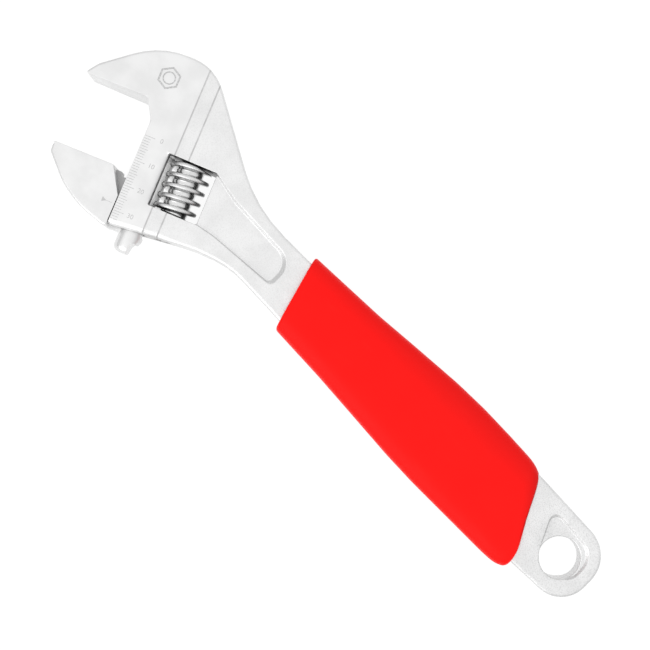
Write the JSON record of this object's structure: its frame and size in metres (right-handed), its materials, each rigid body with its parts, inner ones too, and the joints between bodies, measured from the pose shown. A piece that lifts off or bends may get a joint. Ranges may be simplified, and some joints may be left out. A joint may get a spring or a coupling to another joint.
{
  "type": "adjustable wrench",
  "caption": "Adjustable wrench with an angled forged head, a sliding lower jaw moved by a thumb worm, a soft red sleeve grip and a hang hole.",
  "frame": {"origin": "on the surface that the tool lies on, below the middle of the whole tool's box as it is stored, with the jaws 27.9 mm open", "axes": "+X along the handle from the head to the hang hole, +Y towards the fixed jaw's side, +Z out of the upper face"},
  "size_m": [0.2656, 0.0722, 0.0165],
  "materials": {
    "forging": "satin chrome plated steel, smooth on the head, sandblasted on the handle",
    "jaw": "satin chrome plated steel",
    "worm": "bright polished",
    "pin": "plain steel",
    "spring": "drawn spring wire",
    "grip": "smooth semi-matt red vinyl"
  },
  "bodies": {
    "root": {"body": "forging", "grip": "grip", "worm_pin": "pin", "worm_spring": "spring"},
    "jaw": {"moving_jaw": "jaw"},
    "thumb_wheel": {"worm": "worm"}
  },
  "joints": [
    {"name": "jaw_slide", "type": "slide", "parent": "root", "child": "jaw", "axis": [0.3827, -0.9239, 0], "range_m": [-0.0276, 0.0021]},
    {"name": "worm_spin", "type": "hinge", "parent": "root", "child": "thumb_wheel", "pos_m": [-0.07682, -0.00287, 0.00825], "axis": [-0.3827, 0.9239, 0], "range_deg": [-2400, 190]}
  ],
  "couplings": [
    {"joint": "worm_spin", "follows": "jaw_slide", "rad_per_m": 1514}
  ]
}
